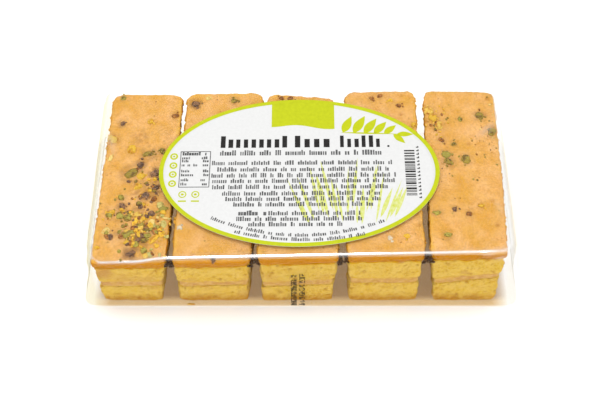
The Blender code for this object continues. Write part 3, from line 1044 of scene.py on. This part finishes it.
def film_block(stops):
    """A block that is open below, with as many cuts along each axis as there are stops between its ends."""
    shape = bmesh.new()
    bmesh.ops.create_cube(shape, size=1.0)
    for axis in range(3):
        along = [edge for edge in shape.edges if abs((edge.verts[0].co - edge.verts[1].co)[axis]) > 0.9]
        bmesh.ops.subdivide_edges(shape, edges=along, cuts=len(stops[axis]) - 2, use_grid_fill=True)
    below = [face for face in shape.faces if all(vertex.co.z < -0.499 for vertex in face.verts)]
    bmesh.ops.delete(shape, geom=below, context="FACES")
    return shape


def fold_glint(place, angle):
    """How bright the film's fold is at a place, by its angle over the top edge."""
    glint = OTHER_GLINT
    if place.y < FILM_FRONT_TOP + FRONT_DEPTH:
        left, right = FRONT_GLINT_ENDS
        glint = max(glint, FRONT_GLINT * step(place.x, left, left + 4) * fall(place.x, right - 6, right))
    patchy = 0.75 + 0.25 * step(noise.noise(place / 17), -0.25, 0.2)
    return glint * patchy * step(angle, *FOLD_RISE) * fall(angle, *FOLD_FALL)


def make_film(look):
    """The film over the pack: a thin shell with waves, creases and a folded flap on each end."""
    high = box_of("film_cover")[1]
    rings = [(number / WALL_CELLS, 0.0) for number in range(WALL_CELLS + 1)]
    rings += [(1.0, 1 - math.cos(math.radians(angle))) for angle in BEND_ANGLES]
    columns, rows = (corner_stops(cells, FILM_CORNER, high[axis]) for axis, cells in enumerate(FILM_CELLS))
    stops = (columns, rows, rings)
    shape = film_block(stops)
    crease = shape.verts.layers.float.new("crease")
    end = shape.verts.layers.float.new("end")
    angles = {}
    for vertex in shape.verts:
        steps = [round((vertex.co[axis] + 0.5) * (len(stops[axis]) - 1)) for axis in range(3)]
        u, v, (share, bend) = (stops[axis][steps[axis]] for axis in range(3))
        vertex.co = film_point(u, v, share, bend, high.x, high.y)
        at_rim = any(steps[axis] in (0, len(stops[axis]) - 1) for axis in (0, 1))
        angles[vertex] = math.degrees(math.acos(1 - bend)) if at_rim else 0.0
    shape.normal_update()
    moves = {}
    for vertex in shape.verts:
        move, fold = film_relief(vertex.co)
        moves[vertex] = vertex.normal * move * step(vertex.co.z, FILM_FOOT, 6)
        # Painted highlight: the fold's glint and the wrinkles' shine go into the crease attribute
        vertex[crease] = max(fold_glint(vertex.co, angles[vertex]), min(1.0, fold) * WRINKLE_GLINT)
        # Painted glow: how strongly the film's ends are tinted cream
        cream_glow = END_CREAM_GLOW[0 if vertex.co.x < 0 else 1]
        vertex[end] = cream_glow * step(abs(vertex.co.x), FILM_END_TOP - 4, FILM_END_TOP)
    for vertex, move in moves.items():
        vertex.co += move
    piece = link("film", mesh_from(shape, "film", smooth_angle=180))
    add_thickness(piece, FILM_THICKNESS)
    finish_piece(piece, look, "film", "film_cover")


# Label: its place, the thickness of its paper, the cells of its mesh, the width of its ring, the height of
# its print, and the longest plate of print that still follows its waves
label_low, label_high = box_of("label")
LABEL_MIDDLE = (label_low + label_high) / 2
LABEL_HALF_LENGTH = (label_high.x - label_low.x) / 2
LABEL_HALF_WIDTH = (label_high.y - label_low.y) / 2
LABEL_THICKNESS = 0.2
LABEL_SIDES = 180
LABEL_LOOPS = 16
RING_WIDTH = 2.1
INK = 0.035
LONGEST_PLATE = 5.5
LEAF_STRETCHES = 10


def label_height(x, y):
    """Height of the label's upper face, which lies on the film with a slight wave."""
    wave = 0.09 * noise.noise(Vector((x / 30, y / 30, 3.0)))
    return LABEL_MIDDLE.z + LABEL_THICKNESS / 2 + FILM_TOP_SLOPE * (x - LABEL_MIDDLE.x) + wave


def oval(middle, half_length, half_width, sides):
    """Points (x, y) of an oval."""
    angles = [2 * math.pi * side / sides for side in range(sides)]
    return [(middle[0] + half_length * math.cos(angle), middle[1] + half_width * math.sin(angle))
            for angle in angles]


def label_oval(inset):
    """The label's outline, drawn in by an inset."""
    return oval(LABEL_MIDDLE, LABEL_HALF_LENGTH - inset, LABEL_HALF_WIDTH - inset, LABEL_SIDES)


def make_label(look):
    """The label's paper: a thin oval disc."""
    shape = bmesh.new()
    middle = LABEL_MIDDLE
    centre = shape.verts.new((middle.x, middle.y, label_height(middle.x, middle.y)))
    inner = None
    for number in range(1, LABEL_LOOPS + 1):
        share = number / LABEL_LOOPS
        outline = oval(middle, LABEL_HALF_LENGTH * share, LABEL_HALF_WIDTH * share, LABEL_SIDES)
        loop = [shape.verts.new((x, y, label_height(x, y))) for x, y in outline]
        for side in range(LABEL_SIDES):
            after = (side + 1) % LABEL_SIDES
            if inner:
                shape.faces.new((inner[side], loop[side], loop[after], inner[after]))
            else:
                shape.faces.new((centre, loop[side], loop[after]))
        inner = loop
    piece = link("label_paper", mesh_from(shape, "label_paper", smooth_angle=60))
    add_thickness(piece, LABEL_THICKNESS)
    finish_piece(piece, look, "label", "label")


class Print:
    """Thin plates of one ink on the label. Level 2 lies over level 1."""

    def __init__(self, level):
        self.shape = bmesh.new()
        self.level = level

    def plate(self, outline):
        """A flat plate over an outline of (x, y) points."""
        upper = [self.shape.verts.new((x, y, label_height(x, y) + INK * self.level)) for x, y in outline]
        lower = [self.shape.verts.new((x, y, label_height(x, y) - INK)) for x, y in outline]
        self.shape.faces.new(upper)
        self.shape.faces.new(lower[::-1])
        for number in range(len(outline)):
            after = (number + 1) % len(outline)
            self.shape.faces.new((upper[number], lower[number], lower[after], upper[after]))

    def bar(self, left, low, right, high, pivot=None, turn=0.0):
        """A rectangle, turned in degrees round a pivot if there is one, and cut up if it is long."""
        if right - left > LONGEST_PLATE:
            middle = (left + right) / 2
            self.bar(left, low, middle, high, pivot, turn)
            self.bar(middle, low, right, high, pivot, turn)
            return
        if high - low > LONGEST_PLATE:
            middle = (low + high) / 2
            self.bar(left, low, right, middle, pivot, turn)
            self.bar(left, middle, right, high, pivot, turn)
            return
        corners = [(left, low), (right, low), (right, high), (left, high)]
        if pivot:
            turned = Matrix.Rotation(math.radians(turn), 2)
            corners = [Vector(pivot) + turned @ (Vector(corner) - Vector(pivot)) for corner in corners]
        self.plate(corners)

    def band(self, inner, outer):
        """A closed band between two outlines of as many points."""
        for number in range(len(inner)):
            after = (number + 1) % len(inner)
            self.plate((inner[number], outer[number], outer[after], inner[after]))

    def ring(self, middle, radius, width):
        self.band(oval(middle, radius - width, radius - width, 24), oval(middle, radius, radius, 24))

    def disc(self, middle, half_length, half_width):
        self.plate(oval(middle, half_length, half_width, 12))

    def words(self, draw, left, right, base, height, stem, gap, turn_at=None):
        """A line of print reduced to small upright marks, in words of varied length."""
        x = left
        while x < right - stem:
            letters = draw.randint(2, 9)
            for _ in range(letters):
                if x > right - stem:
                    return
                wide = stem * draw.uniform(0.8, 1.5)
                tall = height * draw.choice((1.0, 1.0, 1.0, 1.45, 1.35))
                if turn_at:
                    y, turn = turn_at(x)
                    self.bar(x, y, x + wide, y + tall, (x, y), turn)
                else:
                    self.bar(x, base, x + wide, base + tall)
                x += wide + gap * draw.uniform(0.7, 1.3)
            x += 2.2 * stem + gap

    def leaf(self, root, angle, length, width):
        """A pointed leaf from its root along an angle in degrees."""
        along = Vector((math.cos(math.radians(angle)), math.sin(math.radians(angle))))
        aside = Vector((-along.y, along.x))
        count = LEAF_STRETCHES
        spine = [Vector(root) + along * length * number / count for number in range(count + 1)]
        bulge = [math.sin(math.pi * (number / count) ** 0.8) for number in range(count + 1)]
        for number in range(count):
            near, far = spine[number], spine[number + 1]
            out, next_out = (aside * width / 2 * bulge[place] for place in (number, number + 1))
            outline = [near + out, near - out, far - next_out, far + next_out]
            if number == 0:
                outline = [near] + outline[2:]
            elif number == count - 1:
                outline = outline[:2] + [far]
            self.plate(outline)

    def finish(self, name, look):
        piece = link(name, mesh_from(self.shape, name))
        finish_piece(piece, look, "label")


# Small print on the label: baseline, left and right of each line
PARAGRAPH = (
    (2.3, -43.2, 44.1), (-1.5, -40.5, 42.4), (-5, -43.2, 45.6), (-8.2, -42.6, 45),
    (-11.7, -42.5, 43.4), (-15.4, -37.6, 38.5), (-18.5, -36, 38.3), (-21.6, -32.1, 34),
    (-29.7, -30.4, 28.9), (-32.7, -24.7, 20.9),
)
BOLD_LINE = (-26.6, -29.6, 28.1)
BOLD_WORD = 13.0
SUBTITLE = (8.0, -39.5, 40.0)
TITLE_WORDS = ((-39.4, -5.4, 9), (-3.0, 15.8, 4), (19.2, 40.4, 6))
TITLE_BASE = 12.6
TITLE_X_HEIGHT = 5.0
TITLE_TALL = 7.0
TITLE_DOT = 42.3
TABLE = (-58.8, -10.6, -44.0, 10.6)
TABLE_ROWS = (8.2, 5.9, 4.1, 1.7, -1.8, -4.1, -7.0, -9.4)
ICON_X = -61.9
ICONS_Y = (7.6, 2.2, -3.0, -8.3)
ICON_RADIUS = 1.95
LOWER_ICONS = ((-56.6, -14.6), (-50.4, -14.6))
BARCODE = (50.3, -15.8, 55.3, 10.6)
BARCODE_DIGITS = (56.2, 57.4)
BANNER_ENDS = (-14.6, 16.6)
BANNER_FOOT = 25.2
BANNER_COLUMNS = 20
BANNER_ROWS = 4

# Curved lines of small print: a left, a middle and a right point of each
CURVES = (((-42.6, -28.6), (-0.5, -38.4), (40.1, -30.2)), ((-31.2, -36.2), (-0.5, -40.8), (30.2, -37.8)))

# Sprig: its stem from root to tip, and its upper leaves and those at its tip. A leaf is a share along the
# stem, an angle, a length and a width.
STEM = ((19.5, 21.5), (48.5, 20.4))
STEM_WIDTH = 0.9
UPPER_LEAVES = (
    (0.04, 66, 11, 4.4), (0.22, 60, 12, 4.6), (0.40, 54, 11, 4.4), (0.57, 48, 9.5, 4),
    (0.74, 40, 8, 3.4),
)
TIP_LEAVES = ((0.96, -2, 8, 3), (0.9, -46, 8, 3.2))

# Pale blades: their number, left, right and base, the place where they stand straight, and their fan
BLADES = 20
BLADE_ROOTS = (2.0, 44.0, -31.0)
BLADES_MIDDLE = 24
BLADES_FAN = 1.1


def curve_line(points):
    """A function of x: the height of a shallow curve through three points, and its turn in degrees."""
    curve = np.polyfit(*zip(*points), 2)
    slope = np.polyder(curve)
    return lambda x: (float(np.polyval(curve, x)), math.degrees(math.atan(np.polyval(slope, x))))


def print_title(look):
    """The title's place: bold blocks of two heights in three groups, and a dot."""
    draw = random.Random("title")
    bold = Print(2)
    for left, right, count in TITLE_WORDS:
        pitch = (right - left) / count
        for number in range(count):
            x = left + number * pitch
            wide = pitch * draw.uniform(0.5, 0.62)
            tall = TITLE_TALL if number == 0 or draw.random() < 0.25 else TITLE_X_HEIGHT
            bold.bar(x, TITLE_BASE, x + wide, TITLE_BASE + tall)
    bold.bar(TITLE_DOT, TITLE_BASE, TITLE_DOT + 1.0, TITLE_BASE + 1.0)
    bold.finish("label_title_blocks", look)


def print_small(look):
    """Lines of small marks in place of small print, straight and curved."""
    draw = random.Random("small print")
    fine = Print(2)
    fine.words(draw, *SUBTITLE[1:], SUBTITLE[0], 2.1, 0.66, 0.4)
    for base, left, right in PARAGRAPH:
        fine.words(draw, left, right, base, 1.75, 0.56, 0.4)
    base, left, right = BOLD_LINE
    fine.words(draw, left, left + BOLD_WORD, base, 1.9, 0.95, 0.3)
    fine.words(draw, left + BOLD_WORD + 1.2, right, base, 1.7, 0.54, 0.4)
    for points in CURVES:
        fine.words(draw, points[0][0], points[2][0], 0, 1.35, 0.5, 0.4, curve_line(points))
    fine.finish("label_small_marks", look)


def print_table(look):
    """A ruled box with rows of marks at its left and right."""
    draw = random.Random("table")
    table = Print(2)
    left, low, right, high = TABLE
    line = 0.36
    for bar in ((left, low, right, low + line), (left, high - line, right, high),
                (left, low, left + line, high), (right - line, low, right, high)):
        table.bar(*bar)
    for number, base in enumerate(TABLE_ROWS):
        if number == 0:
            table.words(draw, left + 1.0, right - 2.0, base, 1.5, 0.8, 0.2)
        else:
            table.words(draw, left + 0.9, left + draw.uniform(4.0, 9.0), base, 1.1, 0.44, 0.3)
            table.words(draw, right - draw.uniform(2.8, 4.4), right - 0.7, base, 1.1, 0.56, 0.26)
    table.finish("label_table", look)


def print_barcode(look):
    """Bars of varied thickness, turned on their side, with a column of small marks beside them."""
    draw = random.Random("bars")
    bars = Print(2)
    left, low, right, high = BARCODE
    y = low
    while y < high - 0.3:
        thick = draw.choice((0.35, 0.45, 0.75, 1.0))
        bars.bar(left, y, right, min(high, y + thick))
        y += thick + draw.choice((0.35, 0.45, 0.8))
    y = low - 1.6
    while y < high + 1.4:
        bars.bar(BARCODE_DIGITS[0], y, BARCODE_DIGITS[1], y + 0.5)
        bars.bar(BARCODE_DIGITS[0] + 0.7, y + 0.5, BARCODE_DIGITS[1], y + draw.uniform(0.8, 1.2))
        y += 2.1
    bars.finish("label_bars", look)


def print_banner(lime):
    """The lime field that reaches from the ring down to a wavy foot."""
    left, right = BANNER_ENDS
    for number in range(BANNER_COLUMNS):
        edges = [left + (right - left) * (number + side) / BANNER_COLUMNS for side in (0, 1)]
        feet = [BANNER_FOOT + 0.9 * math.sin((x + 9) / 4.6) - 0.05 * x for x in edges]
        reaches = [math.sqrt(1 - ((x - LABEL_MIDDLE.x) / LABEL_HALF_LENGTH) ** 2) for x in edges]
        heads = [LABEL_MIDDLE.y + (LABEL_HALF_WIDTH - RING_WIDTH + 0.1) * reach for reach in reaches]
        for row in range(BANNER_ROWS):
            low, high = row / BANNER_ROWS, (row + 1) / BANNER_ROWS
            lime.plate([(edges[side], feet[side] + (heads[side] - feet[side]) * level)
                        for side, level in ((0, low), (1, low), (1, high), (0, high))])


def print_icons(lime):
    """Plain round marks: a column at the left, and two lower ones with a bar under each."""
    for y in ICONS_Y:
        lime.ring((ICON_X, y), ICON_RADIUS, 0.85)
        lime.disc((ICON_X, y), 0.6, 0.5)
    for x, y in LOWER_ICONS:
        lime.ring((x, y), ICON_RADIUS, 0.55)
        lime.disc((x, y), 0.75, 0.6)
        lime.bar(x - 1.9, y - 4.2, x + 1.9, y - 3.4)


def print_sprig(lime):
    root, tip = Vector(STEM[0]), Vector(STEM[1])
    lime.leaf(root, math.degrees(math.atan2(*(tip - root).yx)), (tip - root).length, STEM_WIDTH)
    for share, angle, length, width in UPPER_LEAVES + TIP_LEAVES:
        lime.leaf(root.lerp(tip, share), angle, length, width)


def print_lime(look):
    """All lime print: the ring, the banner, the round marks and the sprig."""
    lime = Print(1)
    lime.band(label_oval(RING_WIDTH), label_oval(0.02))
    print_banner(lime)
    print_icons(lime)
    print_sprig(lime)
    lime.finish("label_lime_print", look)


def print_blades(look):
    """Pale blades of grass in a fan."""
    draw = random.Random("blades")
    pale = Print(1)
    left, right, base = BLADE_ROOTS
    for number in range(BLADES):
        x = left + (right - left) * number / (BLADES - 1)
        root = (x, base + draw.uniform(-1, 8))
        angle = 88 - BLADES_FAN * (x - BLADES_MIDDLE) + draw.uniform(-5, 5)
        pale.leaf(root, angle, draw.uniform(12, 30), draw.uniform(1.0, 2.3))
    pale.finish("label_pale_print", look)


# Date dots: left, share of the places that hold a dot, and looseness of each column
DATE_COLUMNS = ((-4.6, 0.62, 0.5), (-0.6, 0.45, 1.0))
DATE_LOW = 1.5
DATE_HIGH = 31.0
DOT_ROWS = 4
DOT_COLUMNS = 5
DOT_PITCH = 0.55
DOT_PROUD = 0.32


def add_dot(shape, x, z):
    """A dot of ink on the film's front wall."""
    share = (z - FILM_FOOT) / (FILM_TOP - FILM_BEND - FILM_FOOT)
    y = FILM_FRONT_FOOT + (FILM_FRONT_TOP - FILM_FRONT_FOOT) * share - DOT_PROUD
    spot = bmesh.ops.create_cone(shape, cap_ends=True, segments=8, radius1=0.25, radius2=0.22, depth=0.3)
    place = Matrix.Translation((x, y, z)) @ Matrix.Rotation(math.radians(90), 4, "X")
    bmesh.ops.transform(shape, verts=spot["verts"], matrix=place)


def make_date_dots(look):
    """Dots jetted on the front film in two columns, in random patterns that spell nothing."""
    draw = random.Random("date dots")
    shape = bmesh.new()
    for left, dotted, looseness in DATE_COLUMNS:
        z = DATE_LOW
        while z < DATE_HIGH:
            for row in range(DOT_ROWS):
                for place in range(DOT_COLUMNS):
                    if draw.random() < dotted:
                        add_dot(shape, left + place * DOT_PITCH, z + row * DOT_PITCH)
            z += 2.2 + looseness * draw.random()
            if draw.random() < 0.2:
                z += 2.0
    piece = link("date_dots", mesh_from(shape, "date_dots"))
    finish_piece(piece, look, "film")


make_camera()
make_studio()
sponge, filling, icing, pistachio = sponge_look(), filling_look(), icing_look(), nib_look()
for cake in TOPS:
    lower = make_sponge(cake, "lower_sponge", sponge)
    middle = make_filling(cake, filling)
    upper = make_sponge(cake, "upper_sponge", sponge)
    iced = make_icing(cake, icing)
    make_nibs(cake, pistachio)
    make_crumbs(cake, np.concatenate((lower, middle, upper, iced)), pistachio)
make_film(film_look("clear_film"))
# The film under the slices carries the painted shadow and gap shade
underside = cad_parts["film_underside"].data.materials
underside.clear()
underside.append(film_look("shade_tinted_film", shade_tinted=True))
make_label(paper_look())
black = ink_look("ink_black", INK_BLACK, INK_BLACK_WORN)
grey = ink_look("ink_grey", INK_GREY, INK_GREY_WORN)
print_title(black)
print_small(grey)
print_table(grey)
print_barcode(black)
print_lime(ink_look("ink_lime", LIME, LIME_WORN))
print_blades(ink_look("ink_pale_lime", LIME_PALE, LIME_FAINT))
make_date_dots(black)
